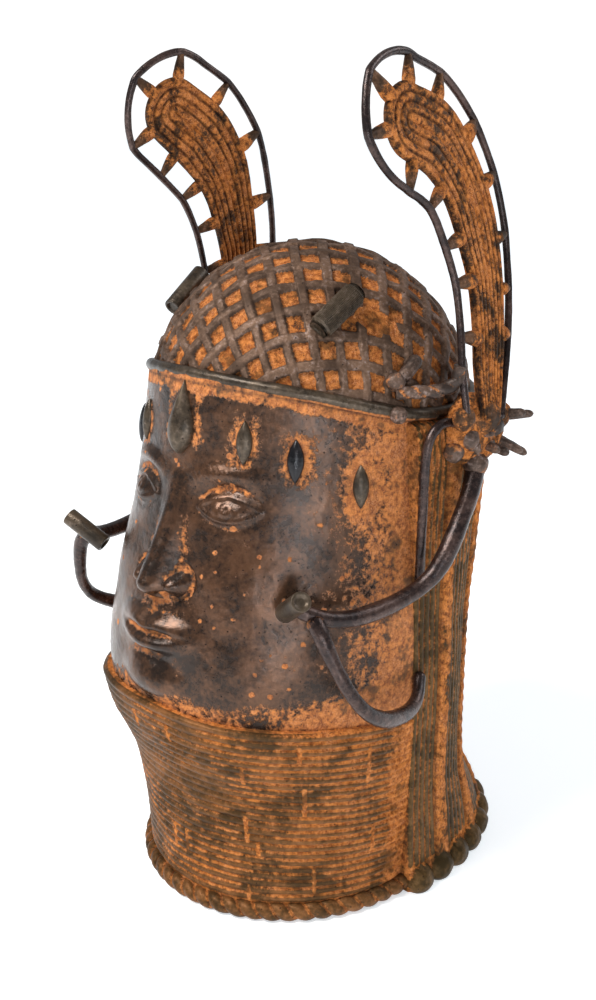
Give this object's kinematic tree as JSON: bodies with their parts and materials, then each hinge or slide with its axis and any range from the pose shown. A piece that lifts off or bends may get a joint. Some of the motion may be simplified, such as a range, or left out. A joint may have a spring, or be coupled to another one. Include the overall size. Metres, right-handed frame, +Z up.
{
  "type": "cast bronze head with winged cap",
  "caption": "Cast bronze head with a netted cap, tall curved wings, looped side bars, hanging strands and a ringed collar, standing on a flat underside.",
  "frame": {"origin": "on the flat underside, on the axis of the round front of the collar", "axes": "+Z up from the underside to the crown, the face looks towards -Y, the head's own left side is +X"},
  "size_m": [0.2594, 0.2567, 0.4993],
  "materials": {
    "bronze": "worn dark bronze with rust-orange crust in the hollows"
  },
  "bodies": {
    "root": {"bronze_head": "bronze"}
  },
  "joints": []
}
